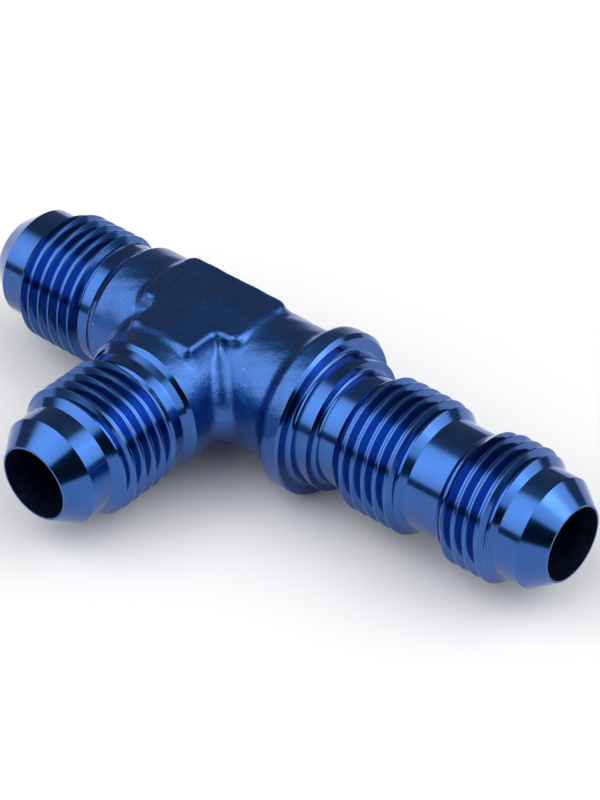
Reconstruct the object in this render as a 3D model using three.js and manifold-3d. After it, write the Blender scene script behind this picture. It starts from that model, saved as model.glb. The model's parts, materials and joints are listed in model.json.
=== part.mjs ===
import * as THREE from 'three';
import { mergeVertices } from 'three/addons/utils/BufferGeometryUtils.js';
import Module from 'manifold-3d';

const wasm = await Module();
wasm.setup();
const { Manifold, Mesh } = wasm;

// A 37 degree flare bulkhead tee for 9/16-18 tube nuts, in millimetres with +Z up.
// The run lies along X with the bulkhead end at +X, and the branch points along -Y.
// Lengths are measured from the point where the run and branch axes cross.
// The origin is on the wrench pad, straight above that crossing.

// Thread: 9/16-18, 60 degree form, right handed on every end.
const PITCH = 25.4 / 18;
const MAJOR_RADIUS = 14.29 / 2;
const GROOVE_DEPTH = 0.84;
const CREST_WIDTH = PITCH / 8;
const FLANK_ANGLE = THREE.MathUtils.degToRad(30);
const LEAD_IN_ANGLE = THREE.MathUtils.degToRad(36);
const THREAD_PHASE = 0.8;
// Blanks are left a little over size where the screw sets the surface.
const THREAD_CLEAR_RADIUS = MAJOR_RADIUS + 0.3;

// Flare nose, the same on all three ends.
const NOSE_RADIUS = 5.95;
const RIM_RADIUS = 4.15;
const BORE_RADIUS = 3.95;
const CONE_LENGTH = (NOSE_RADIUS - RIM_RADIUS) / Math.tan(THREE.MathUtils.degToRad(37));
const NOSE_LENGTH = 4.95;
const THREAD_CHAMFER = THREAD_CLEAR_RADIUS - NOSE_RADIUS;

// How far each flare rim is from the crossing of the axes.
const RUN_TIP = 27.2;
const BRANCH_TIP = 26.8;
const BULKHEAD_TIP = 46;

// Forged middle: two round necks, blended in the corners, and a raised pad on top.
const NECK_RADIUS = 7.25;
const NECK_LENGTH = 11;
const CORNER_RADIUS = 2;
const PAD_HEIGHT = 7.5;
const PAD_HALF_WIDTH = 3.8;
const PAD_HALF_LENGTH = 6.25;
const PAD_BRANCH_REACH = 8;
const PAD_CORNER_RADIUS = 0.8;
const PAD_EDGE = 0.35;
const PAD_FOOT = 5;

// Turned relief between each short thread and its neck.
const COLLAR_RADIUS = 6.95;
const COLLAR_END = 11.35;
const RELIEF_RADIUS = 6.6;
const RELIEF_START = 12.15;
const RELIEF_END = 13.6;

// Bulkhead arm: forged flange, pilot, undercut, bulkhead thread, plain neck, nut thread.
const FLANGE_RADIUS = 8.9;
const FLANGE_ROOT = 12.2;
const FLANGE_ROOT_FILLET = 1;
const FLANGE_BACK_ROUND = 0.7;
const FLANGE_CHAMFER_START = 15.2;
const SHOULDER = 15.9;
const SHOULDER_RADIUS = 8.6;
const PILOT_END = 18.3;
const STEP_FILLET = 0.55;
const UNDERCUT_RADIUS = 6.05;
const UNDERCUT_END = 20.85;
const PLAIN_NECK_START = 29.9;
const PLAIN_NECK_END = 33.8;

// Facets per turn, shared by every turned surface and every thread.
const FACETS = 24;
const FORGING_LEVELS = 9;
const ARC_STEPS = 3;
// How far hidden material and cutters run past the surface they meet, and how far hidden
// material sits under a surface it follows.
const OVERLAP = 2;
const TUCK = 0.15;

const point = (x, r) => new THREE.Vector2(x, r);
const leadIn = (radius) => (THREAD_CLEAR_RADIUS - radius) / Math.tan(LEAD_IN_ANGLE);

// A quarter arc in a turned profile from one point to the next, bulging away from its centre.
function quarterArc(centre, from, to) {
  const start = Math.atan2(from.y - centre.y, from.x - centre.x);
  let sweep = Math.atan2(to.y - centre.y, to.x - centre.x) - start;
  if (sweep > Math.PI) sweep -= 2 * Math.PI;
  if (sweep < -Math.PI) sweep += 2 * Math.PI;
  const radius = centre.distanceTo(from);
  return Array.from({ length: ARC_STEPS + 1 }, (_, i) => {
    const angle = start + (sweep * i) / ARC_STEPS;
    return point(centre.x + radius * Math.cos(angle), centre.y + radius * Math.sin(angle));
  });
}

// A closed three.js geometry as a solid ready for joining and cutting.
function solid(geometry) {
  const bare = new THREE.BufferGeometry();
  bare.setAttribute('position', geometry.getAttribute('position'));
  bare.setIndex(geometry.getIndex());
  const welded = mergeVertices(bare, 1e-5);
  return new Manifold(new Mesh({
    numProp: 3,
    vertProperties: new Float32Array(welded.getAttribute('position').array),
    triVerts: new Uint32Array(welded.getIndex().array),
  }));
}

// A profile of (distance along the axis, radius) points turned round the X axis.
function turned(profile) {
  const points = profile.map((p) => new THREE.Vector2(p.y, p.x));
  const lathe = new THREE.LatheGeometry(points, FACETS);
  lathe.rotateZ(-Math.PI / 2);
  return solid(lathe);
}

// The end of every arm: thread chamfer, nose cylinder and 37 degree cone.
function flareNose(tip) {
  return [
    point(tip - NOSE_LENGTH - THREAD_CHAMFER, THREAD_CLEAR_RADIUS),
    point(tip - NOSE_LENGTH, NOSE_RADIUS),
    point(tip - CONE_LENGTH, NOSE_RADIUS),
    point(tip, RIM_RADIUS),
    point(tip, 0),
  ];
}

// A solid screw round the X axis, made of four helical strands: the two edges of the crest
// and the two edges of the root. The last strand meets the first one a turn further on.
function screw(from, to) {
  const root = MAJOR_RADIUS - GROOVE_DEPTH;
  const flank = GROOVE_DEPTH * Math.tan(FLANK_ANGLE);
  const strands = [
    [0, MAJOR_RADIUS],
    [CREST_WIDTH, MAJOR_RADIUS],
    [CREST_WIDTH + flank, root],
    [PITCH - flank, root],
  ];
  const steps = FACETS * Math.ceil((to - from) / PITCH);
  const positions = [];
  for (let step = 0; step <= steps; step += 1) {
    const turns = step / FACETS;
    const angle = turns * 2 * Math.PI;
    for (const [offset, radius] of strands) {
      positions.push(from + offset + turns * PITCH, radius * Math.cos(angle), radius * Math.sin(angle));
    }
  }
  const corner = (strand, step) => step * strands.length + strand;
  const startHub = corner(0, steps + 1);
  const endHub = startHub + 1;
  positions.push(from - PITCH, 0, 0, to + 3 * PITCH, 0, 0);

  const indices = [];
  const patch = (a, b, c, d) => indices.push(a, b, c, a, c, d);
  for (let step = 0; step < steps; step += 1) {
    for (let strand = 0; strand < 3; strand += 1) {
      const near = corner(strand, step);
      const far = corner(strand, step + 1);
      patch(near, far, far + 1, near + 1);
    }
  }
  for (let step = 0; step < steps - FACETS; step += 1) {
    const next = step + FACETS;
    patch(corner(3, step), corner(3, step + 1), corner(0, next + 1), corner(0, next));
  }
  const lastTurn = steps - FACETS;
  for (let step = 0; step < FACETS; step += 1) {
    indices.push(startHub, corner(0, step + 1), corner(0, step));
    indices.push(endHub, corner(3, lastTurn + step), corner(3, lastTurn + step + 1));
  }
  const startStep = [corner(0, 0), corner(1, 0), corner(2, 0), corner(3, 0), corner(0, FACETS)];
  const endStep = [corner(3, lastTurn), ...[0, 1, 2, 3].map((strand) => corner(strand, steps))];
  for (let i = 0; i < 4; i += 1) {
    indices.push(startHub, startStep[i], startStep[i + 1]);
    indices.push(endHub, endStep[i + 1], endStep[i]);
  }
  const thread = new THREE.BufferGeometry();
  thread.setAttribute('position', new THREE.Float32BufferAttribute(positions, 3));
  thread.setIndex(indices);
  return solid(thread);
}

// Cuts the thread into a turned blank everywhere beyond one distance along it.
// The plain necks and noses are smaller than the thread's root, so they stay smooth.
function threaded(blank, start, tip) {
  const plain = turned([
    point(0, 0),
    point(0, FLANGE_RADIUS + OVERLAP),
    point(start, FLANGE_RADIUS + OVERLAP),
    point(start, 0),
  ]);
  return blank.intersect(plain.add(screw(THREAD_PHASE + PITCH * Math.floor(start / PITCH - 2), tip)));
}

// A short arm along +X: collar and relief beside the forging, then thread and nose.
function shortArm(tip) {
  const blank = turned([
    point(NECK_LENGTH - OVERLAP, 0),
    point(NECK_LENGTH - OVERLAP, COLLAR_RADIUS),
    point(COLLAR_END, COLLAR_RADIUS),
    point(RELIEF_START, RELIEF_RADIUS),
    point(RELIEF_END, RELIEF_RADIUS),
    point(RELIEF_END + THREAD_CLEAR_RADIUS - RELIEF_RADIUS, THREAD_CLEAR_RADIUS),
    ...flareNose(tip),
  ]);
  return threaded(blank, RELIEF_END, tip);
}

// The bulkhead arm along +X, from the forged flange out to the flare rim.
function bulkheadArm() {
  const rootTop = FLANGE_ROOT + FLANGE_ROOT_FILLET;
  const backRoundBase = FLANGE_RADIUS - FLANGE_BACK_ROUND;
  const hiddenRadius = NECK_RADIUS - TUCK;
  const blank = turned([
    point(NECK_LENGTH - OVERLAP, 0),
    point(NECK_LENGTH - OVERLAP, hiddenRadius),
    point(FLANGE_ROOT - TUCK, hiddenRadius),
    ...quarterArc(
      point(FLANGE_ROOT, NECK_RADIUS + FLANGE_ROOT_FILLET),
      point(FLANGE_ROOT, NECK_RADIUS),
      point(rootTop, NECK_RADIUS + FLANGE_ROOT_FILLET),
    ).slice(0, -1),
    ...quarterArc(
      point(rootTop + FLANGE_BACK_ROUND, backRoundBase),
      point(rootTop, backRoundBase),
      point(rootTop + FLANGE_BACK_ROUND, FLANGE_RADIUS),
    ),
    point(FLANGE_CHAMFER_START, FLANGE_RADIUS),
    point(SHOULDER, SHOULDER_RADIUS),
    ...quarterArc(
      point(SHOULDER + STEP_FILLET, MAJOR_RADIUS + STEP_FILLET),
      point(SHOULDER, MAJOR_RADIUS + STEP_FILLET),
      point(SHOULDER + STEP_FILLET, MAJOR_RADIUS),
    ),
    point(PILOT_END, MAJOR_RADIUS),
    ...quarterArc(
      point(PILOT_END + STEP_FILLET, UNDERCUT_RADIUS + STEP_FILLET),
      point(PILOT_END, UNDERCUT_RADIUS + STEP_FILLET),
      point(PILOT_END + STEP_FILLET, UNDERCUT_RADIUS),
    ),
    point(UNDERCUT_END, UNDERCUT_RADIUS),
    point(UNDERCUT_END + leadIn(UNDERCUT_RADIUS), THREAD_CLEAR_RADIUS),
    point(PLAIN_NECK_START - THREAD_CHAMFER, THREAD_CLEAR_RADIUS),
    point(PLAIN_NECK_START, NOSE_RADIUS),
    point(PLAIN_NECK_END, NOSE_RADIUS),
    point(PLAIN_NECK_END + leadIn(NOSE_RADIUS), THREAD_CLEAR_RADIUS),
    ...flareNose(BULKHEAD_TIP),
  ]);
  return threaded(blank, (PILOT_END + UNDERCUT_END) / 2, BULKHEAD_TIP);
}

// One level of the forged tee: the outline where the two necks are halfWidth wide each way.
function forgingOutline(halfWidth) {
  const bulkheadEnd = FLANGE_ROOT + FLANGE_ROOT_FILLET + FLANGE_BACK_ROUND;
  const outline = [
    [-NECK_LENGTH, halfWidth],
    [-NECK_LENGTH, -halfWidth],
  ];
  for (let i = 0; i <= ARC_STEPS; i += 1) {
    const angle = (i / ARC_STEPS) * (Math.PI / 2);
    outline.push([
      -halfWidth - CORNER_RADIUS * (1 - Math.sin(angle)),
      -halfWidth - CORNER_RADIUS * (1 - Math.cos(angle)),
    ]);
  }
  outline.push([-halfWidth, -NECK_LENGTH], [halfWidth, -NECK_LENGTH]);
  for (let i = ARC_STEPS; i >= 0; i -= 1) {
    const angle = (i / ARC_STEPS) * (Math.PI / 2);
    outline.push([
      halfWidth + CORNER_RADIUS * (1 - Math.sin(angle)),
      -halfWidth - CORNER_RADIUS * (1 - Math.cos(angle)),
    ]);
  }
  outline.push([bulkheadEnd, -halfWidth], [bulkheadEnd, halfWidth]);
  return outline;
}

// The forged necks and their blended corners, as outlines stacked from bottom to top.
function forgedTee() {
  const positions = [];
  const indices = [];
  const count = forgingOutline(NECK_RADIUS).length;
  const step = Math.PI / (2 * FORGING_LEVELS + 1);
  for (let level = -FORGING_LEVELS; level <= FORGING_LEVELS; level += 1) {
    const height = NECK_RADIUS * Math.sin(level * step);
    const halfWidth = NECK_RADIUS * Math.cos(level * step);
    for (const [x, y] of forgingOutline(halfWidth)) positions.push(x, y, height);
  }
  const cap = THREE.ShapeUtils.triangulateShape(
    forgingOutline(NECK_RADIUS).map(([x, y]) => new THREE.Vector2(x, y)), []);
  const top = 2 * FORGING_LEVELS * count;
  for (const [a, b, c] of cap) indices.push(a, c, b, top + a, top + b, top + c);
  for (let level = 0; level < 2 * FORGING_LEVELS; level += 1) {
    for (let i = 0; i < count; i += 1) {
      const a = level * count + i;
      const b = level * count + ((i + 1) % count);
      indices.push(a, b, a + count, b, b + count, a + count);
    }
  }
  const tee = new THREE.BufferGeometry();
  tee.setAttribute('position', new THREE.Float32BufferAttribute(positions, 3));
  tee.setIndex(indices);
  return solid(tee);
}

// The raised T-shaped wrench pad with its broken edges. Its foot is inside the necks.
function wrenchPad() {
  const r = PAD_CORNER_RADIUS;
  const corners = [
    [-PAD_HALF_LENGTH, PAD_HALF_WIDTH],
    [-PAD_HALF_LENGTH, -PAD_HALF_WIDTH],
    [-PAD_HALF_WIDTH, -PAD_HALF_WIDTH],
    [-PAD_HALF_WIDTH, -PAD_BRANCH_REACH],
    [PAD_HALF_WIDTH, -PAD_BRANCH_REACH],
    [PAD_HALF_WIDTH, -PAD_HALF_WIDTH],
    [PAD_HALF_LENGTH, -PAD_HALF_WIDTH],
    [PAD_HALF_LENGTH, PAD_HALF_WIDTH],
  ].map(([x, y]) => new THREE.Vector2(x, y));
  const outline = new THREE.Shape();
  corners.forEach((corner, i) => {
    const before = corners[(i + corners.length - 1) % corners.length];
    const after = corners[(i + 1) % corners.length];
    const entry = corner.clone().add(before.clone().sub(corner).setLength(r));
    const exit = corner.clone().add(after.clone().sub(corner).setLength(r));
    if (i === 0) outline.moveTo(entry.x, entry.y);
    else outline.lineTo(entry.x, entry.y);
    outline.quadraticCurveTo(corner.x, corner.y, exit.x, exit.y);
  });
  const block = new THREE.ExtrudeGeometry(outline, {
    depth: PAD_HEIGHT - PAD_FOOT - 2 * PAD_EDGE,
    bevelThickness: PAD_EDGE,
    bevelSize: PAD_EDGE,
    bevelSegments: 1,
    curveSegments: ARC_STEPS,
  });
  block.translate(0, 0, PAD_FOOT + PAD_EDGE);
  return solid(block);
}

// A drilled passage along +X from one distance to another.
function passage(from, to) {
  return turned([point(from, 0), point(from, BORE_RADIUS), point(to, BORE_RADIUS), point(to, 0)]);
}

function fittingBody() {
  const branchTurn = [0, 0, -90];
  const drilling = passage(-RUN_TIP - OVERLAP, BULKHEAD_TIP + OVERLAP)
    .add(passage(0, BRANCH_TIP + OVERLAP).rotate(branchTurn));
  return forgedTee()
    .add(wrenchPad())
    .add(bulkheadArm())
    .add(shortArm(RUN_TIP).rotate([0, 0, 180]))
    .add(shortArm(BRANCH_TIP).rotate(branchTurn))
    .subtract(drilling);
}

// The finished solid as a flat-shaded mesh in anodised blue.
function fittingMesh() {
  const mesh = fittingBody().getMesh();
  const geometry = new THREE.BufferGeometry();
  geometry.setAttribute('position', new THREE.BufferAttribute(new Float32Array(mesh.vertProperties), 3));
  geometry.setIndex(new THREE.BufferAttribute(new Uint32Array(mesh.triVerts), 1));
  geometry.computeVertexNormals();
  const anodisedBlue = new THREE.MeshStandardMaterial({ color: 0x1f4fae, roughness: 0.28, metalness: 0.9 });
  return new THREE.Mesh(geometry, anodisedBlue);
}

const group = new THREE.Group();
group.name = 'flare_bulkhead_tee';
const body = fittingMesh();
body.name = 'fitting_body';
body.position.z = -PAD_HEIGHT;
group.add(body);

export default group;
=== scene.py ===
import json
import math

import bmesh
import bpy
import numpy as np
from mathutils import Matrix, Vector


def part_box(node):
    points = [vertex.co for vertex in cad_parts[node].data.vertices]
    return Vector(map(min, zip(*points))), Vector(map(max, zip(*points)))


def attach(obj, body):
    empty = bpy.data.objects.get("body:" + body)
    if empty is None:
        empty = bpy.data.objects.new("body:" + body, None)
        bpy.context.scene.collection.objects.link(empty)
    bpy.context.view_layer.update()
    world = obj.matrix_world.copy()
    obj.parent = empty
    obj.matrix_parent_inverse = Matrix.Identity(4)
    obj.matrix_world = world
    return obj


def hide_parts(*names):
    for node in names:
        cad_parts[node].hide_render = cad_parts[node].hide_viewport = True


# The visible model of the flare bulkhead tee. All shapes are made in millimetres from the point
# where the run and branch axes cross, then scaled to metres in the frame's own coordinates.
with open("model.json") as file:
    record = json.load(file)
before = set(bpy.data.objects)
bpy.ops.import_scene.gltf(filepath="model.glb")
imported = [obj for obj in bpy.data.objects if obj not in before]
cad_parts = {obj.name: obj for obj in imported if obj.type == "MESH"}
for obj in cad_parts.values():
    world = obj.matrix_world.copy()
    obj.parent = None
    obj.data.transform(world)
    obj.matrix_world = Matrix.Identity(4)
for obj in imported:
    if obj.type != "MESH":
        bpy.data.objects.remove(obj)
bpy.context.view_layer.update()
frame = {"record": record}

MM = 0.001
LOW, HIGH = (np.array(corner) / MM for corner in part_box("fitting_body"))
MOUNTS = {mount["name"]: np.array(mount["pos_m"]) / MM for mount in frame["record"]["mounts"]}

# Lengths from the frame.
AXIS_HEIGHT = (LOW[2] + HIGH[2]) / 2
FLANGE_RADIUS = (HIGH[2] - LOW[2]) / 2
RUN_TIP = -LOW[0]
BRANCH_TIP = -LOW[1]
BULKHEAD_TIP = HIGH[0]
SHOULDER = MOUNTS["shoulder"][0]
PAD_HEIGHT = MOUNTS["wrench_pad"][2] - AXIS_HEIGHT

# Thread: 9/16-18, 60 degree form, right handed on every end. The blank that it is cut into is
# turned clear of the crests, so that the screws alone shape them.
PITCH = 25.4 / 18
MAJOR_RADIUS = 14.29 / 2
THREAD_DEPTH = 0.84
ROOT_RADIUS = MAJOR_RADIUS - THREAD_DEPTH
CREST_WIDTH = PITCH / 8
CREST_ROUND = 0.03
ROOT_ROUND = 0.1
FLANK_TANGENT = math.tan(math.radians(30))
LEAD_IN_TANGENT = math.tan(math.radians(36))
BLANK_RADIUS = MAJOR_RADIUS + 0.3

# Where the crests stand along each arm, give or take whole pitches.
RUN_PHASE = 0.513
BULKHEAD_PHASE = 0.8135
BRANCH_PHASE = 1.349

# Where the screws start inside the necks, and the length in which the plain part gives way.
SHORT_SCREW_START = 9
BULKHEAD_SCREW_START = 15
THREAD_TAPER = 0.8

# Flare nose, the same on all three ends.
NOSE_RADIUS = 5.95
RIM_RADIUS = 4.15
BORE_RADIUS = 3.95
NOSE_LENGTH = 4.95
CONE_LENGTH = (NOSE_RADIUS - RIM_RADIUS) / math.tan(math.radians(37))
NOSE_CHAMFER = BLANK_RADIUS - NOSE_RADIUS
NOSE_FOOT_ROUND = 0.08
EDGE_ROUND = 0.06

# Turned bands between each short thread and its forged neck, by distance along the arm.
LATHE_REACH = 9.4
NECK_CUT = 10.9
NECK_CUT_RADIUS = 7.3
COLLAR = 11.35
COLLAR_RADIUS = 6.95
COLLAR_ROUND = 0.05
RELIEF_START = 12.15
RELIEF_END = 13.6
RELIEF_RADIUS = 6.6
RELIEF_END_ROUND = 0.1
THREAD_START = RELIEF_END - 0.4

# Bulkhead arm.
FLANGE_TURNED = 1.9
BEVEL_RADIUS = 8.6
BEVEL_SLOPE = 0.8
BEVEL_ROUND = 0.05
PILOT_RADIUS = MAJOR_RADIUS - 0.02
PILOT_END = 18.3
PILOT_FILLET = 0.55
BULKHEAD_THREAD_START = PILOT_END + 0.8
STEP_FILLET = 0.5
UNDERCUT_RADIUS = 6.05
UNDERCUT_END = 20.85
UNDERCUT_END_ROUND = 0.15
PLAIN_NECK_START = 29.9
PLAIN_NECK_END = 33.8
PLAIN_NECK_ROUND = 0.12

# Forged necks. The forging sits a little off the turned axes, towards +Y and +Z.
DRIFT = 0.09
WAVINESS = 0.025
NECK_RADIUS = 7.27
RUN_MIDDLE = -0.2
RUN_HALF_LENGTH = 12.9
BRANCH_LENGTH = 12.6
BRANCH_RADIUS = NECK_RADIUS + 0.02
BRANCH_DRAFT = 0.025
DRAFT_FROM = -9
CORNER_RADIUS = 2.0
LEAST_FILLET = 0.02

# Forged back of the flange, a touch smaller than turned to make up for part of its drift.
FLANGE_BACK = 13.1
FLANGE_STOCK_END = 17.5
FLANGE_SHY = 0.04
FLANGE_BACK_ROUND = 0.9
FLANGE_ROOT_FILLET = 1.5

# Wrench pad, a bar along the run and a bar along the branch, sized a little below its top.
PAD_HALF_LENGTH = 6.8
PAD_HALF_WIDTH = 4.3
PAD_BRANCH_HALF_WIDTH = PAD_HALF_WIDTH - 0.05
PAD_REACH = 8.5
PAD_CORNER_ROUND = 1.4
PAD_TIP_ROUND = 0.9
PAD_NOTCH_FILLET = 0.7
PAD_TOP_INSET = 0.25
PAD_DRAFT = 0.28
PAD_EDGE_ROUND = 0.5
PAD_FILLET = 0.65
PAD_FOOT = 4.0

# Bars for the lathe, from inside the forging, and the end of the branch's drilling.
STOCK_RADIUS = 8.0
STOCK_START = 12.2
BULKHEAD_STOCK_START = 13.6
BRANCH_BORE_START = 0.1

# How finely the shapes are meshed. SEGMENTS is to a turn and ROUND_STEPS for a 1 mm round.
SEGMENTS = 128
ROUND_STEPS = 6
NET_CELL = 0.21
WELD = 0.002
SHARP_ANGLE = math.radians(28)

# Lengths that only have to be big enough.
FAR = 60.0
BEYOND = 2
OVERLAP = 1

# The finishes, by their place in the list FINISHES.
FORGED, TURNED_ALONG_X, TURNED_ALONG_Y, DRILLED = range(4)


# ---------------------------------------------------------------- mesh building

def make_object(name, points, faces, finish):
    """A closed mesh whose faces all have one of the finishes, a place in the list FINISHES."""
    mesh = bpy.data.meshes.new(name)
    mesh.from_pydata([tuple(p) for p in points], [], [tuple(f) for f in faces])
    for material in FINISHES:
        mesh.materials.append(material)
    mesh.polygons.foreach_set("material_index", [finish] * len(mesh.polygons))
    tidy = bmesh.new()
    tidy.from_mesh(mesh)
    bmesh.ops.recalc_face_normals(tidy, faces=tidy.faces)
    tidy.to_mesh(mesh)
    tidy.free()
    made = bpy.data.objects.new(name, mesh)
    bpy.context.scene.collection.objects.link(made)
    return made


def combine(base, other, operation):
    """Joins, cuts or trims one solid with another, which is then removed."""
    step = base.modifiers.new("step", "BOOLEAN")
    step.operation = operation
    step.solver = "MANIFOLD"
    step.object = other
    settle_modifier(base)
    bpy.data.objects.remove(other)
    return base


def weld(base):
    """Joins points that the cuts left almost on top of each other, with the slivers between them."""
    tidy = bmesh.new()
    tidy.from_mesh(base.data)
    bmesh.ops.remove_doubles(tidy, verts=tidy.verts, dist=WELD)
    bmesh.ops.dissolve_degenerate(tidy, edges=tidy.edges, dist=WELD)
    tidy.to_mesh(base.data)
    tidy.free()


def settle_modifier(base):
    """Replaces a mesh with what its one modifier makes of it."""
    graph = bpy.context.evaluated_depsgraph_get()
    mesh = bpy.data.meshes.new_from_object(base.evaluated_get(graph))
    base.modifiers.clear()
    base.data = mesh


def rounded(corners):
    """The (along, radius) points of a profile through (along, radius, rounding) corners."""
    points = []
    for i, (along, radius, rounding) in enumerate(corners):
        here = np.array((along, radius))
        if rounding == 0 or i in (0, len(corners) - 1):
            points.append(here)
            continue
        back = np.array(corners[i - 1][:2]) - here
        ahead = np.array(corners[i + 1][:2]) - here
        back /= np.linalg.norm(back)
        ahead /= np.linalg.norm(ahead)
        half = math.acos(np.clip(back @ ahead, -1, 1)) / 2
        sweep = math.pi - 2 * half
        middle = (back + ahead) / np.linalg.norm(back + ahead)
        centre = here + middle * rounding / math.sin(half)
        first = here + back * rounding / math.tan(half) - centre
        last = here + ahead * rounding / math.tan(half) - centre
        steps = max(2, round(sweep * math.sqrt(rounding) * ROUND_STEPS))
        for k in range(steps + 1):
            share = k / steps
            points.append(
                centre
                + (math.sin((1 - share) * sweep) * first + math.sin(share * sweep) * last)
                / math.sin(sweep)
            )
    return points


def turned(name, profile, finish):
    """A profile of (along, radius) points turned round X. It starts and ends on the axis."""
    rings = np.array(profile)[1:-1]
    angles = np.arange(SEGMENTS) * 2 * math.pi / SEGMENTS
    along = np.repeat(rings[:, 0], SEGMENTS)
    radius = np.repeat(rings[:, 1], SEGMENTS)
    around = np.tile(angles, len(rings))
    points = np.stack([along, radius * np.cos(around), radius * np.sin(around)], 1)
    ends = [[profile[0][0], 0, 0], [profile[-1][0], 0, 0]]
    points = np.concatenate([points, ends])
    faces = []
    for i in range(SEGMENTS):
        j = (i + 1) % SEGMENTS
        faces.append((len(points) - 2, j, i))
        for ring in range(0, (len(rings) - 1) * SEGMENTS, SEGMENTS):
            faces.append((ring + i, ring + j, ring + SEGMENTS + j, ring + SEGMENTS + i))
        last = (len(rings) - 1) * SEGMENTS
        faces.append((len(points) - 1, last + i, last + j))
    return make_object(name, points, faces, finish)


def screw_faces(count, steps, start_hub, end_hub):
    """The faces of a screw of so many strands and steps, with both its ends closed to a hub."""
    def at(strand, step):
        return step * count + strand

    faces = []
    for step in range(steps):
        for strand in range(count - 1):
            faces.append((at(strand, step), at(strand, step + 1),
                          at(strand + 1, step + 1), at(strand + 1, step)))
    last_turn = steps - SEGMENTS
    for step in range(last_turn):
        later = step + SEGMENTS
        faces.append((at(count - 1, step), at(count - 1, step + 1),
                      at(0, later + 1), at(0, later)))
    for step in range(SEGMENTS):
        faces.append((start_hub, at(0, step + 1), at(0, step)))
        faces.append((end_hub, at(count - 1, last_turn + step), at(count - 1, last_turn + step + 1)))
    start_edge = [at(strand, 0) for strand in range(count)] + [at(0, SEGMENTS)]
    end_edge = [at(count - 1, last_turn)] + [at(strand, steps) for strand in range(count)]
    for i in range(count):
        faces.append((start_hub, start_edge[i], start_edge[i + 1]))
        faces.append((end_hub, end_edge[i + 1], end_edge[i]))
    return faces


def screw(name, start, end, phase, finish):
    """A solid screw round X. A crest's middle is at phase, plus whole pitches, where Y is up."""
    half_crest = CREST_WIDTH / 2
    half_root = half_crest + THREAD_DEPTH * FLANK_TANGENT
    corners = [
        (-PITCH / 2, ROOT_RADIUS, 0),
        (-half_root, ROOT_RADIUS, ROOT_ROUND),
        (-half_crest, MAJOR_RADIUS, CREST_ROUND),
        (half_crest, MAJOR_RADIUS, CREST_ROUND),
        (half_root, ROOT_RADIUS, ROOT_ROUND),
        (PITCH / 2, ROOT_RADIUS, 0),
    ]
    ridge = np.array(rounded(corners))[:-1]
    count = len(ridge)
    first = phase + PITCH * math.floor((start - phase) / PITCH)
    steps = SEGMENTS * math.ceil((end - start) / PITCH)
    turns = np.repeat(np.arange(steps + 1) / SEGMENTS, count)
    along = first + np.tile(ridge[:, 0], steps + 1) + turns * PITCH
    radius = np.tile(ridge[:, 1], steps + 1)
    angle = turns * 2 * math.pi
    points = np.stack([along, radius * np.cos(angle), radius * np.sin(angle)], 1)
    hubs = [[along.min() - PITCH, 0, 0], [along.max() + PITCH, 0, 0]]
    faces = screw_faces(count, steps, len(points), len(points) + 1)
    return make_object(name, np.concatenate([points, hubs]), faces, finish)


# ---------------------------------------------------------------- forged middle

def round_join(a, b, radius):
    """Two distances joined as a union, with a fillet where the shapes meet."""
    reach_a = np.maximum(radius - a, 0)
    reach_b = np.maximum(radius - b, 0)
    return np.maximum(radius, np.minimum(a, b)) - np.hypot(reach_a, reach_b)


def round_meet(a, b, radius):
    """Two distances joined as an intersection, with a rounded edge."""
    return -round_join(-a, -b, radius)


def round_box(x, y, half_x, half_y, radius):
    """Distance to a rectangle about the origin, with rounded corners."""
    over_x = np.abs(x) - half_x + radius
    over_y = np.abs(y) - half_y + radius
    outside = np.hypot(np.maximum(over_x, 0), np.maximum(over_y, 0))
    return outside + np.minimum(np.maximum(over_x, over_y), 0) - radius


def waviness(x, y, z):
    """What a hammered and blasted surface is off by, a few hundredths of a millimetre."""
    broad = np.sin(1.1 * x + 0.7 * z + 0.4) * np.sin(0.9 * y - 0.8 * z + 1.3)
    close = 0.6 * np.sin(2.3 * x - 1.7 * y) * np.sin(2.1 * z + 1.1 * y + 0.5)
    return WAVINESS * (broad + close)


def necks(x, y, z, run_r):
    """The round run and branch. Their corner is widest at the middle and closes above and below."""
    branch_r = np.hypot(x, z - DRIFT)
    run = np.maximum(run_r - NECK_RADIUS, np.abs(x - RUN_MIDDLE) - RUN_HALF_LENGTH)
    branch_radius = BRANCH_RADIUS + BRANCH_DRAFT * (y - DRAFT_FROM)
    branch = np.maximum(branch_r - branch_radius, np.maximum(y, -BRANCH_LENGTH - y))
    tilt = np.clip((z / NECK_RADIUS) ** 2, 0, 1)
    corner = CORNER_RADIUS * (1 - np.sqrt((1 + tilt) / 2)) / (1 - math.sqrt(0.5))
    return round_join(run, branch, corner + LEAST_FILLET)


def flange_stock(x, run_r):
    """The flange, rounded at the back, with spare length at the front for the lathe."""
    edge = run_r - (FLANGE_RADIUS - FLANGE_SHY)
    disc = round_meet(FLANGE_BACK - x, edge, FLANGE_BACK_ROUND)
    return np.maximum(disc, x - FLANGE_STOCK_END)


def wrench_pad(x, y, z):
    """The raised T with sloping sides, down to its foot inside the necks."""
    run_bar = round_box(x, y, PAD_HALF_LENGTH, PAD_HALF_WIDTH, PAD_CORNER_ROUND)
    half_reach = PAD_REACH / 2
    branch_bar = round_box(x, y + half_reach, PAD_BRANCH_HALF_WIDTH, half_reach, PAD_TIP_ROUND)
    outline = round_join(run_bar, branch_bar, PAD_NOTCH_FILLET)
    drop = PAD_HEIGHT - z
    wall = (outline + PAD_TOP_INSET - PAD_DRAFT * drop) / math.hypot(1, PAD_DRAFT)
    return np.maximum(round_meet(wall, -drop, PAD_EDGE_ROUND), PAD_FOOT - z)


def forging(p):
    """Signed distance, roughly, to the forging before it is turned."""
    x, y, z = p[..., 0], p[..., 1], p[..., 2]
    run_r = np.hypot(y - DRIFT, z - DRIFT)
    body = round_join(necks(x, y, z, run_r), flange_stock(x, run_r), FLANGE_ROOT_FILLET)
    return round_join(body, wrench_pad(x, y, z), PAD_FILLET) + waviness(x, y, z)


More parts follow.
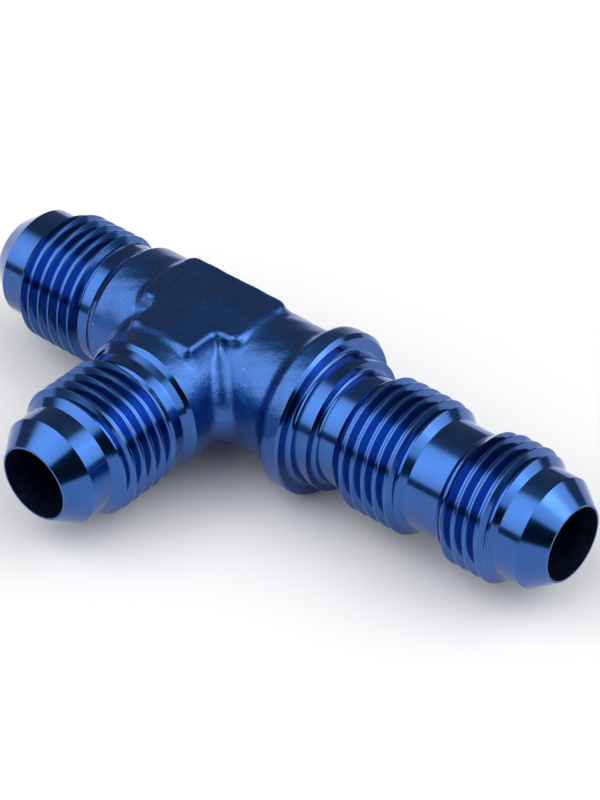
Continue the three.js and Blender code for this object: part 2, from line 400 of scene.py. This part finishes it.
def surface_net(field, low, high, cell):
    """Points and quads on the surface where a field is zero."""
    steps = [np.arange(a, b + cell, cell) for a, b in zip(low, high)]
    grid = np.stack(np.meshgrid(*steps, indexing="ij"), -1)
    inside = field(grid) < 0
    sides = (slice(None, -1), slice(1, None))
    corner_count = sum(inside[a, b, c].astype(int) for a in sides for b in sides for c in sides)
    crossed = (corner_count > 0) & (corner_count < 8)
    index = np.full(crossed.shape, -1)
    index[crossed] = np.arange(crossed.sum())
    points = grid[:-1, :-1, :-1][crossed] + cell / 2
    faces = []
    for axis in range(3):
        turn = np.roll(np.arange(3), -axis)
        solid = inside.transpose(turn)
        cells = index.transpose(turn)
        here = solid[:-1, 1:-1, 1:-1]
        ahead = solid[1:, 1:-1, 1:-1]
        around = [cells[:, :-1, :-1], cells[:, 1:, :-1], cells[:, 1:, 1:], cells[:, :-1, 1:]]
        for change, order in ((here & ~ahead, (0, 1, 2, 3)), (~here & ahead, (3, 2, 1, 0))):
            faces.append(np.stack([around[k][change] for k in order], 1))
    return points, np.concatenate(faces)


def settle(field, points, faces):
    """Evens out the points of a net and puts them exactly on the surface."""
    rounds = 8
    pulls = 2
    probe = 0.001
    longest_move = 0.1
    least_slope = 0.05
    edges = np.concatenate([faces[:, [k, (k + 1) % 4]] for k in range(4)])
    count = np.bincount(edges.ravel(), minlength=len(points))[:, None]
    for _ in range(rounds):
        total = np.zeros_like(points)
        np.add.at(total, edges[:, 0], points[edges[:, 1]])
        np.add.at(total, edges[:, 1], points[edges[:, 0]])
        points = (points + total / count) / 2
        for _ in range(pulls):
            value = field(points)
            slope = np.stack([
                (field(points + probe * np.eye(3)[k]) - value) / probe for k in range(3)
            ], 1)
            steepness = np.maximum((slope ** 2).sum(1), least_slope)
            move = np.clip(value / steepness, -longest_move, longest_move)
            points = points - move[:, None] * slope
    return points


def forged_middle():
    """The forging as a mesh, from a box that holds all of it."""
    low = (-14.0, -13.4, -9.8)
    high = (18.4, 9.8, 9.8)
    points, faces = surface_net(forging, low, high, NET_CELL)
    points = settle(forging, points, faces)
    return make_object("forged_middle", points, faces, FORGED)


# ---------------------------------------------------------------- turned ends

def nose_corners(tip):
    """Thread chamfer, nose and 37 degree cone, from the thread out to the rim."""
    return [
        (tip - NOSE_LENGTH - NOSE_CHAMFER, BLANK_RADIUS, 0),
        (tip - NOSE_LENGTH, NOSE_RADIUS, NOSE_FOOT_ROUND),
        (tip - CONE_LENGTH, NOSE_RADIUS, EDGE_ROUND),
        (tip, RIM_RADIUS, EDGE_ROUND),
        (tip, 0, 0),
    ]


def short_corners(tip):
    """A short arm's turned profile, from the cut into the forging out to the rim."""
    slope = (NECK_CUT_RADIUS - COLLAR_RADIUS) / (COLLAR - NECK_CUT)
    return [
        (LATHE_REACH, FAR, 0),
        (LATHE_REACH, NECK_CUT_RADIUS + slope * (NECK_CUT - LATHE_REACH), 0),
        (COLLAR, COLLAR_RADIUS, COLLAR_ROUND),
        (RELIEF_START, RELIEF_RADIUS, STEP_FILLET),
        (RELIEF_END, RELIEF_RADIUS, RELIEF_END_ROUND),
        (RELIEF_END + BLANK_RADIUS - RELIEF_RADIUS, BLANK_RADIUS, 0),
    ] + nose_corners(tip)


def lead_in(start, radius):
    """Where the slope that leads into a thread reaches the blank's radius."""
    return start + (BLANK_RADIUS - radius) / LEAD_IN_TANGENT


def bulkhead_corners():
    """The bulkhead arm's turned profile, from the bevel on the flange out to the rim."""
    wall = SHOULDER - FLANGE_TURNED
    return [
        (wall, FAR, 0),
        (wall, BEVEL_RADIUS + BEVEL_SLOPE * (SHOULDER - wall), 0),
        (SHOULDER, BEVEL_RADIUS, BEVEL_ROUND),
        (SHOULDER, PILOT_RADIUS, PILOT_FILLET),
        (PILOT_END, PILOT_RADIUS, EDGE_ROUND),
        (PILOT_END, UNDERCUT_RADIUS, STEP_FILLET),
        (UNDERCUT_END, UNDERCUT_RADIUS, UNDERCUT_END_ROUND),
        (lead_in(UNDERCUT_END, UNDERCUT_RADIUS), BLANK_RADIUS, 0),
        (PLAIN_NECK_START - NOSE_CHAMFER, BLANK_RADIUS, 0),
        (PLAIN_NECK_START, NOSE_RADIUS, PLAIN_NECK_ROUND),
        (PLAIN_NECK_END, NOSE_RADIUS, PLAIN_NECK_ROUND),
        (lead_in(PLAIN_NECK_END, NOSE_RADIUS), BLANK_RADIUS, 0),
    ] + nose_corners(BULKHEAD_TIP)


def mirrored(corners):
    """The same profile for an arm that points the other way."""
    return [(-along, radius, rounding) for along, radius, rounding in reversed(corners)]


def unthreaded(start, end):
    """Everything between two places along an axis, tapering off where the threads begin."""
    low = ROOT_RADIUS - 0.1
    high = RELIEF_RADIUS + 0.05
    return [
        (start - THREAD_TAPER, 0), (start - THREAD_TAPER, low), (start, high), (start, FAR + OVERLAP),
        (end, FAR + OVERLAP), (end, high), (end + THREAD_TAPER, low), (end + THREAD_TAPER, 0),
    ]


def run_envelope():
    """What the lathe leaves of the run: both ends, with their threads."""
    corners = mirrored(short_corners(RUN_TIP)) + bulkhead_corners()
    envelope = turned("run_envelope", rounded(corners), TURNED_ALONG_X)
    plain = unthreaded(-THREAD_START, BULKHEAD_THREAD_START)
    threads = turned("run_threads", plain, TURNED_ALONG_X)
    run_screw = screw("run_screw", -RUN_TIP - BEYOND, -SHORT_SCREW_START, RUN_PHASE, TURNED_ALONG_X)
    combine(threads, run_screw, "UNION")
    bulkhead_screw = screw("bulkhead_screw", BULKHEAD_SCREW_START, BULKHEAD_TIP + BEYOND,
                           BULKHEAD_PHASE, TURNED_ALONG_X)
    combine(threads, bulkhead_screw, "UNION")
    return combine(envelope, threads, "INTERSECT")


def branch_envelope():
    """What the lathe leaves of the branch, made along +X."""
    corners = [(-FAR, 0, 0), (-FAR, FAR, 0)] + short_corners(BRANCH_TIP)
    envelope = turned("branch_envelope", rounded(corners), TURNED_ALONG_Y)
    plain = unthreaded(-FAR - OVERLAP, THREAD_START)
    threads = turned("branch_threads", plain, TURNED_ALONG_Y)
    branch_screw = screw("branch_screw", SHORT_SCREW_START, BRANCH_TIP + BEYOND, BRANCH_PHASE,
                         TURNED_ALONG_Y)
    combine(threads, branch_screw, "UNION")
    return combine(envelope, threads, "INTERSECT")


def bar(name, start, end, radius, finish):
    """A plain cylinder along X."""
    return turned(name, [(start, 0), (start, radius), (end, radius), (end, 0)], finish)


def along_branch(made):
    """Turns a shape made along +X to lie along the branch."""
    made.data.transform(Matrix.Rotation(-math.pi / 2, 4, "Z"))
    return made


def stock():
    """The forging with a bar for the lathe on each arm."""
    run_bar = bar("run_bar", -RUN_TIP - OVERLAP, -STOCK_START, STOCK_RADIUS, TURNED_ALONG_X)
    bulkhead_bar = bar("bulkhead_bar", BULKHEAD_STOCK_START, BULKHEAD_TIP + OVERLAP, STOCK_RADIUS,
                       TURNED_ALONG_X)
    branch_bar = bar("branch_bar", STOCK_START, BRANCH_TIP + OVERLAP, STOCK_RADIUS, TURNED_ALONG_Y)
    blank = forged_middle()
    for piece in (run_bar, bulkhead_bar, along_branch(branch_bar)):
        combine(blank, piece, "UNION")
    return blank


def soften(body):
    """Smooth shading in which wide flat bands keep their direction next to narrow rounded edges."""
    body.data.polygons.foreach_set("use_smooth", [True] * len(body.data.polygons))
    body.data.set_sharp_from_angle(angle=SHARP_ANGLE)
    weighted = body.modifiers.new("weighted", "WEIGHTED_NORMAL")
    weighted.keep_sharp = True
    settle_modifier(body)


def fitting():
    """The whole fitting: forged, turned, threaded, drilled, and put where the frame has it."""
    body = stock()
    combine(body, run_envelope(), "INTERSECT")
    combine(body, along_branch(branch_envelope()), "INTERSECT")
    run_bore = bar("run_bore", -RUN_TIP - BEYOND, BULKHEAD_TIP + BEYOND, BORE_RADIUS, DRILLED)
    combine(body, run_bore, "DIFFERENCE")
    branch_bore = bar("branch_bore", BRANCH_BORE_START, BRANCH_TIP + BEYOND, BORE_RADIUS, DRILLED)
    combine(body, along_branch(branch_bore), "DIFFERENCE")
    weld(body)
    soften(body)
    body.data.transform(
        Matrix.Translation((0, 0, AXIS_HEIGHT * MM)) @ Matrix.Scale(MM, 4))
    return body


# ---------------------------------------------------------------- materials

class Nodes:
    """A short way to add linked nodes to a material or the world."""

    def __init__(self, owner, shader="Principled BSDF"):
        owner.use_nodes = True
        self.tree = owner.node_tree
        self.shader = self.tree.nodes[shader]

    def add(self, kind, values=(), **settings):
        node = self.tree.nodes.new("ShaderNode" + kind)
        for key, value in settings.items():
            setattr(node, key, value)
        for socket, value in dict(values).items():
            if isinstance(value, bpy.types.NodeSocket):
                self.tree.links.new(value, node.inputs[socket])
            else:
                node.inputs[socket].default_value = value
        return node

    def noise(self, vector, scale, detail=2.0):
        """Noise from 0 to 1 with this many features to a metre."""
        node = self.add("TexNoise", {"Vector": vector, "Scale": scale, "Detail": detail})
        return node.outputs["Fac"]

    def stretched(self, vector, scale):
        return self.add("Mapping", {"Vector": vector, "Scale": scale}).outputs["Vector"]

    def span(self, value, low, high, start=0.0, end=1.0):
        """Takes low to high in a value to start to end, smoothly and clamped."""
        node = self.add("MapRange", {"Value": value, "From Min": low, "From Max": high,
                                     "To Min": start, "To Max": end})
        node.interpolation_type = "SMOOTHSTEP"
        return node.outputs["Result"]

    def maths(self, operation, a, b=0.0):
        return self.add("Math", {0: a, 1: b}, operation=operation).outputs[0]

    def dot(self, a, b):
        return self.add("VectorMath", {0: a, 1: b}, operation="DOT_PRODUCT").outputs["Value"]

    def mix(self, share, a, b):
        node = self.add("Mix", {"Factor": share, "A": a, "B": b}, data_type="RGBA")
        return node.outputs["Result"]

    def edges(self, radius):
        """1 along convex and concave edges, fading to 0 about one radius away."""
        bevel = self.add("Bevel", {"Radius": radius}, samples=6).outputs["Normal"]
        plain = self.add("NewGeometry").outputs["Normal"]
        return self.span(self.dot(bevel, plain), 0.995, 0.93)

    def bump(self, height, strength, distance):
        """Puts relief this many metres deep under a material's highlights."""
        values = {"Strength": strength, "Distance": distance, "Height": height}
        self.link("Normal", self.add("Bump", values).outputs["Normal"])

    def link(self, socket, value):
        """Feeds one of the shader's sockets."""
        self.tree.links.new(value, self.shader.inputs[socket])


# The blue of the oxide: thick and thin dye, a darker blue in the passages that is painted shade, and
# a pale blue along edges that is partly dye rubbed almost off and partly painted highlight.
DEEP_BLUE = (0.004, 0.074, 0.305, 1)
CLEAR_BLUE = (0.0055, 0.093, 0.36, 1)
# Painted shade: the passages get a much darker blue than the outside.
BORE_SHADE_BLUE = (0.003, 0.012, 0.07, 1)
# Pale blue for specks, scuffs and edges. Along the edges it is partly wear and partly a painted
# highlight.
WORN_DYE_AND_EDGE_HIGHLIGHT = (0.1, 0.2, 0.46, 1)


def coat(nodes, roughness):
    """What every anodised surface shares: metal under a hard clear film of oxide."""
    nodes.shader.inputs["Metallic"].default_value = 1
    nodes.shader.inputs["Coat Weight"].default_value = 1
    nodes.shader.inputs["Coat Roughness"].default_value = roughness
    nodes.shader.inputs["Coat IOR"].default_value = 1.45
    nodes.shader.inputs["Specular Tint"].default_value = (0.2, 0.45, 0.75, 1)


def dyed(nodes, patches):
    """The blue of the dye, a little uneven."""
    return nodes.mix(nodes.span(patches, 0.3, 0.7), DEEP_BLUE, CLEAR_BLUE)


def lathe_marks(nodes, place, axis, around, along, detail):
    """Noise drawn out into rings: this many features to a metre round the axis, and along it."""
    scale = [around] * 3
    scale[axis] = along
    return nodes.noise(nodes.stretched(place, scale), 1.0, detail)


def turned_finish(name, axis):
    """Glossy blue with fine lathe lines that ring the axis, 0 for X and 1 for Y. Its edges are paled,
    partly as wear and partly as a painted highlight.
    """
    material = bpy.data.materials.new(name)
    nodes = Nodes(material)
    coat(nodes, 0.1)
    place = nodes.add("TexCoord").outputs["Object"]
    lines = lathe_marks(nodes, place, axis, 120.0, 9000.0, 3.0)
    bands = lathe_marks(nodes, place, axis, 60.0, 1800.0, 2.0)
    patches = nodes.noise(place, 260.0, 3.0)
    # Paler along convex and concave edges: partly dye rubbed thin, partly a painted highlight.
    edge_wear_and_highlight = nodes.maths("MULTIPLY", nodes.edges(0.00012), 0.5)
    nodes.link("Base Color", nodes.mix(edge_wear_and_highlight, dyed(nodes, patches), WORN_DYE_AND_EDGE_HIGHLIGHT))
    nodes.link("Roughness", nodes.maths("ADD", nodes.span(bands, 0.3, 0.7, 0.12, 0.18),
                                        nodes.span(patches, 0.4, 0.75, 0.0, 0.04)))
    height = nodes.maths("ADD", lines, nodes.maths("MULTIPLY", bands, 1.5))
    nodes.bump(height, strength=0.8, distance=0.000008)
    return material


def drilled_finish():
    """The passages: satin, rough from the drill, and darker in colour as painted shade."""
    material = bpy.data.materials.new("drilled")
    nodes = Nodes(material)
    coat(nodes, 0.4)
    place = nodes.add("TexCoord").outputs["Object"]
    marks = nodes.noise(place, 1600.0, 3.0)
    # The dark blue is painted shade inside the passages. The drill marks vary it.
    nodes.link("Base Color", nodes.mix(nodes.span(marks, 0.3, 0.9), BORE_SHADE_BLUE, DEEP_BLUE))
    nodes.link("Roughness", nodes.span(marks, 0.3, 0.7, 0.3, 0.45))
    nodes.bump(marks, strength=0.6, distance=0.00002)
    return material


def forged_finish():
    """Satin blue with the pebbled grain of a blasted forging, a few specks and scuffs, and edges
    paled partly as wear and partly as a painted highlight.
    """
    material = bpy.data.materials.new("forged")
    nodes = Nodes(material)
    coat(nodes, 0.25)
    place = nodes.add("TexCoord").outputs["Object"]
    grain = nodes.noise(place, 3400.0, 3.0)
    dapple = nodes.noise(place, 1500.0, 3.0)
    patches = nodes.noise(place, 220.0, 3.0)
    specks = nodes.span(nodes.noise(place, 2300.0, 0.0), 0.77, 0.82)
    scratches = nodes.noise(nodes.stretched(place, (500.0, 4200.0, 900.0)), 1.0, 2.0)
    scuffs = nodes.maths("MULTIPLY", nodes.span(scratches, 0.66, 0.74),
                         nodes.span(patches, 0.52, 0.66))
    # Paler along edges, partly as wear and partly as a painted highlight. Specks and scuffs are real
    # bare marks.
    bare_and_edge_highlight = nodes.maths("MULTIPLY", nodes.edges(0.0002), 0.3)
    for mark, strength in ((specks, 0.6), (scuffs, 0.35)):
        bare_and_edge_highlight = nodes.maths("MAXIMUM", bare_and_edge_highlight, nodes.maths("MULTIPLY", mark, strength))
    nodes.link("Base Color", nodes.mix(bare_and_edge_highlight, dyed(nodes, patches), WORN_DYE_AND_EDGE_HIGHLIGHT))
    nodes.link("Roughness", nodes.maths("ADD", nodes.span(grain, 0.3, 0.7, 0.27, 0.36),
                                        nodes.span(patches, 0.35, 0.75, 0.0, 0.06)))
    height = nodes.maths("ADD", grain, nodes.maths("MULTIPLY", dapple, 0.8))
    nodes.bump(height, strength=1.0, distance=0.00005)
    return material


# ---------------------------------------------------------------- studio

# How bright the panels are away from their cores and round them.
PANEL_LOW = 1.5
PANEL_HIGH = 2.2

# The floor and the lamp above it, in metres.
PAPER_WHITE = 0.74
FLOOR_SIZE = 4
LAMP_SIZE = 3.2
LAMP_HEIGHT = 1.2
LAMP_POWER = 0.35


def direction(azimuth, elevation):
    """A unit vector, by degrees from +X towards +Y and degrees above the floor."""
    a, e = math.radians(azimuth), math.radians(elevation)
    return Vector((math.cos(a) * math.cos(e), math.sin(a) * math.cos(e), math.sin(e)))


def softbox(nodes, where, azimuth, elevation, edges, core, bulb):
    """Light from a big soft panel that is brightest round its core.

    The edges are (distance from the middle, softness) in shares of how far away the panel is,
    in the order of lower azimuth, higher azimuth, bottom and top.
    """
    towards = direction(azimuth, elevation)
    sideways = direction(azimuth + 90, 0)
    ahead = nodes.maths("MAXIMUM", nodes.dot(where, towards), 0.001)
    across = nodes.maths("DIVIDE", nodes.dot(where, sideways), ahead)
    up = nodes.maths("DIVIDE", nodes.dot(where, towards.cross(sideways)), ahead)
    near = nodes.dot(where, direction(*core))
    light = nodes.maths("ADD", nodes.span(near, 0.78, 0.98, PANEL_LOW, PANEL_HIGH),
                        nodes.span(near, 0.95, 0.998, 0.0, bulb))
    against = nodes.maths("MULTIPLY", across, -1.0)
    down = nodes.maths("MULTIPLY", up, -1.0)
    for value, (edge, soft) in zip((against, across, down, up), edges):
        window = nodes.span(value, edge + soft, edge - soft)
        light = nodes.maths("MULTIPLY", light, window)
    return light


def sky():
    """Two big soft panels, a faint ceiling, a dim room behind the fitting, dark round the camera."""
    world = bpy.data.worlds.new("studio")
    bpy.context.scene.world = world
    nodes = Nodes(world, "Background")
    nodes.shader.inputs["Color"].default_value = (1, 1, 1, 1)
    where = nodes.add("TexCoord").outputs["Generated"]
    room = nodes.span(nodes.dot(where, direction(138, 0)), -0.95, 0.3, 0.03, 0.18)
    ceiling = nodes.span(nodes.dot(where, (0, 0, 1)), 0.8, 0.97, 0.0, 0.3)
    left = softbox(nodes, where, -112, 44,
                   ((0.72, 0.22), (0.69, 0.08), (0.62, 0.08), (0.66, 0.2)), (-113, 50), 0.2)
    right = softbox(nodes, where, 22, 40,
                    ((0.8, 0.1), (0.8, 0.12), (0.51, 0.06), (0.5, 0.18)), (24, 46), 1.8)
    strength = nodes.maths("ADD", nodes.maths("ADD", room, ceiling),
                           nodes.maths("ADD", left, right))
    nodes.link("Strength", strength)


def floor():
    """Plain pale paper under the fitting."""
    bpy.ops.mesh.primitive_plane_add(size=FLOOR_SIZE, location=(0, 0, LOW[2] * MM))
    made = bpy.context.object
    made.name = "floor"
    paper = bpy.data.materials.new("paper")
    shader = Nodes(paper).shader
    shader.inputs["Base Color"].default_value = (PAPER_WHITE, PAPER_WHITE, PAPER_WHITE, 1)
    shader.inputs["Roughness"].default_value = 0.9
    shader.inputs["Specular IOR Level"].default_value = 0
    made.data.materials.append(paper)


def overhead():
    """Soft light from above that brightens the floor and isn't seen in the metal."""
    light = bpy.data.lights.new("overhead", "AREA")
    light.size = LAMP_SIZE
    light.energy = LAMP_POWER * math.pi * LAMP_SIZE ** 2
    lamp = bpy.data.objects.new("overhead", light)
    lamp.location = (0, 0, LAMP_HEIGHT)
    lamp.visible_glossy = False
    bpy.context.scene.collection.objects.link(lamp)


def camera():
    """A long lens that looks down at the fitting from between the branch and the bulkhead end."""
    azimuth = 41.276
    elevation = 38.995
    roll = 0.89
    distance = 352.5
    aim = Vector((8.49, 3.38, -3.78 + AXIS_HEIGHT)) * MM
    data = bpy.data.cameras.new("camera")
    data.lens = 154.2
    data.sensor_width = 36
    data.clip_end = 10
    made = bpy.data.objects.new("camera", data)
    bpy.context.scene.collection.objects.link(made)
    back = direction(azimuth - 90, elevation)
    made.location = aim + back * distance * MM
    turn = back.to_track_quat("Z", "Y").to_matrix() @ Matrix.Rotation(-math.radians(roll), 3, "Z")
    made.rotation_euler = turn.to_euler()
    bpy.context.scene.camera = made


# ---------------------------------------------------------------- the fitting and its scene

FINISHES = [
    forged_finish(),
    turned_finish("turned_run", 0),
    turned_finish("turned_branch", 1),
    drilled_finish(),
]

body = fitting()
body.name = "fitting_body_finish"
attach(body, "root")
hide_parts("fitting_body")

sky()
floor()
overhead()
camera()
bpy.context.scene.view_settings.view_transform = "Standard"
